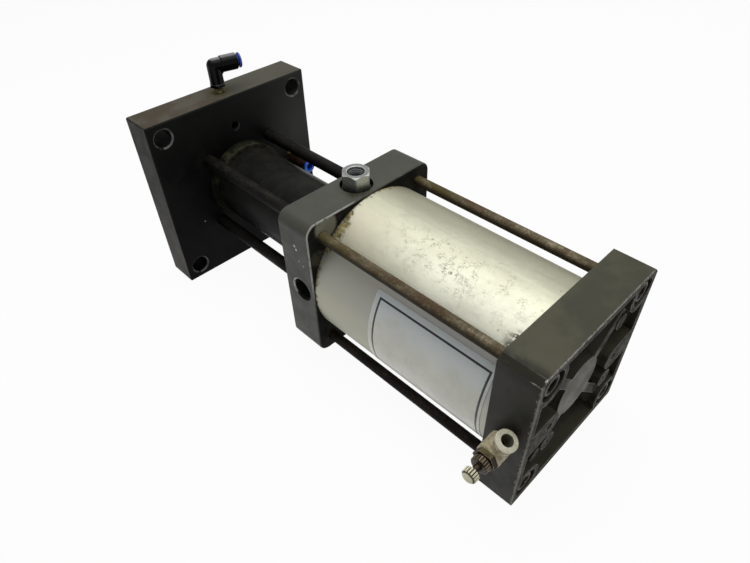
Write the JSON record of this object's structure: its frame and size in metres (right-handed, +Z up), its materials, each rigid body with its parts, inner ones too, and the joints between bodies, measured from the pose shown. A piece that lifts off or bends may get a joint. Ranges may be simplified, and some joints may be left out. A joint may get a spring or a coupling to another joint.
{
  "type": "pneumatic booster cylinder",
  "caption": "Air-over-oil booster cylinder: an air piston drives a plunger into an oil tube, which pushes a short-stroke rod out of a square mounting flange.",
  "frame": {"origin": "centre of the mounting flange's front face, on the cylinder's axis", "axes": "+X is the way the working rod comes out, +Z is up with the oil port and the elbow fitting on top, +Y is the side of the open air port and the speed controller"},
  "size_m": [0.46, 0.1985, 0.2134],
  "materials": {
    "flange_paint": "satin black, worn",
    "tube_paint": "satin black",
    "block_paint": "satin dark grey",
    "tube_aluminium": "satin anodised",
    "front_rod_steel": "dark, oiled",
    "rear_rod_steel": "tarnished",
    "fastener_steel": "plain",
    "sleeve_steel": "dark, tarnished",
    "zinc_steel": "bright zinc",
    "hard_chrome": "ground and polished",
    "piston_aluminium": "machined",
    "seal_rubber": "matte",
    "wear_plastic": "filled plastic",
    "bush_bronze": "machined",
    "fitting_brass": "tarnished",
    "fitting_black": "moulded, glossy",
    "ring_blue": "moulded",
    "label_plastic": "printed film, blank",
    "valve_cream": "moulded, satin"
  },
  "bodies": {
    "housing": {"front_flange": "flange_paint", "oil_tube": "tube_paint", "middle_block": "block_paint", "air_tube": "tube_aluminium", "rear_cap": "block_paint", "front_tie_rod_nuts": "fastener_steel", "rear_sleeve_nuts": "sleeve_steel", "oil_tube_front_seal": "seal_rubber", "oil_tube_rear_seal": "seal_rubber", "air_tube_front_seal": "seal_rubber", "air_tube_rear_seal": "seal_rubber", "piston_bumper": "seal_rubber", "plunger_bush": "bush_bronze", "plunger_seal": "seal_rubber", "rod_bush": "bush_bronze", "rod_seal": "seal_rubber", "rod_wiper": "seal_rubber", "oil_port_adapter": "zinc_steel", "oil_port_washer": "zinc_steel", "elbow_stem": "fitting_brass", "elbow_seal": "seal_rubber", "straight_stem": "fitting_brass", "straight_body": "fitting_black", "valve_stem": "fitting_brass", "valve_locknut": "fitting_brass", "label_film": "label_plastic", "front_tie_rod_1": "front_rod_steel", "front_tie_rod_2": "front_rod_steel", "front_tie_rod_3": "front_rod_steel", "front_tie_rod_4": "front_rod_steel", "rear_tie_rod_1": "rear_rod_steel", "rear_tie_rod_2": "rear_rod_steel", "rear_tie_rod_3": "rear_rod_steel", "rear_tie_rod_4": "rear_rod_steel"},
    "booster": {"booster_piston": "piston_aluminium", "booster_rear_seal": "seal_rubber", "booster_wear_ring": "wear_plastic", "booster_front_seal": "seal_rubber", "plunger": "hard_chrome", "plunger_nut": "fastener_steel"},
    "output_rod": {"working_piston": "piston_aluminium", "working_rear_seal": "seal_rubber", "working_wear_ring": "wear_plastic", "working_front_seal": "seal_rubber", "working_rod": "hard_chrome", "working_nut": "fastener_steel"},
    "elbow": {"elbow_body": "fitting_black"},
    "elbow_ring": {"elbow_release_ring": "ring_blue"},
    "straight_ring": {"straight_release_ring": "ring_blue"},
    "valve": {"valve_body": "valve_cream"},
    "valve_ring": {"valve_release_ring": "valve_cream"},
    "needle": {"valve_needle": "fitting_brass"},
    "knob": {"valve_knob": "valve_cream"}
  },
  "joints": [
    {"name": "booster_slide", "type": "slide", "parent": "housing", "child": "booster", "axis": [1, 0, 0], "range_m": [0, 0.12]},
    {"name": "rod_slide", "type": "slide", "parent": "housing", "child": "output_rod", "axis": [1, 0, 0], "range_m": [0, 0.031]},
    {"name": "elbow_swivel", "type": "hinge", "parent": "housing", "child": "elbow", "pos_m": [-0.0175, 0, 0.1], "axis": [0, 0, 1], "continuous": true},
    {"name": "elbow_ring_press", "type": "slide", "parent": "elbow", "child": "elbow_ring", "axis": [0.2588, 0.9659, 0], "range_m": [0, 0.0012], "stiffness_N_per_m": 300},
    {"name": "straight_ring_press", "type": "slide", "parent": "housing", "child": "straight_ring", "axis": [1, 0, 0], "range_m": [0, 0.0012], "stiffness_N_per_m": 300},
    {"name": "valve_swivel", "type": "hinge", "parent": "housing", "child": "valve", "pos_m": [-0.4194, 0.08, 0], "axis": [0, 1, 0], "continuous": true},
    {"name": "valve_ring_press", "type": "slide", "parent": "valve", "child": "valve_ring", "axis": [0.3681, 0, -0.9298], "range_m": [0, 0.0012], "stiffness_N_per_m": 300},
    {"name": "needle_slide", "type": "slide", "parent": "housing", "child": "needle", "axis": [0, 1, 0], "range_m": [-0.0028, 0.0014]},
    {"name": "knob_turn", "type": "hinge", "parent": "needle", "child": "knob", "pos_m": [-0.4194, 0.104, 0], "axis": [0, 1, 0], "range_deg": [-1441, 721]}
  ],
  "couplings": [
    {"joint": "rod_slide", "follows": "booster_slide", "ratio": 0.258},
    {"joint": "knob_turn", "follows": "needle_slide", "rad_per_m": 8976}
  ]
}
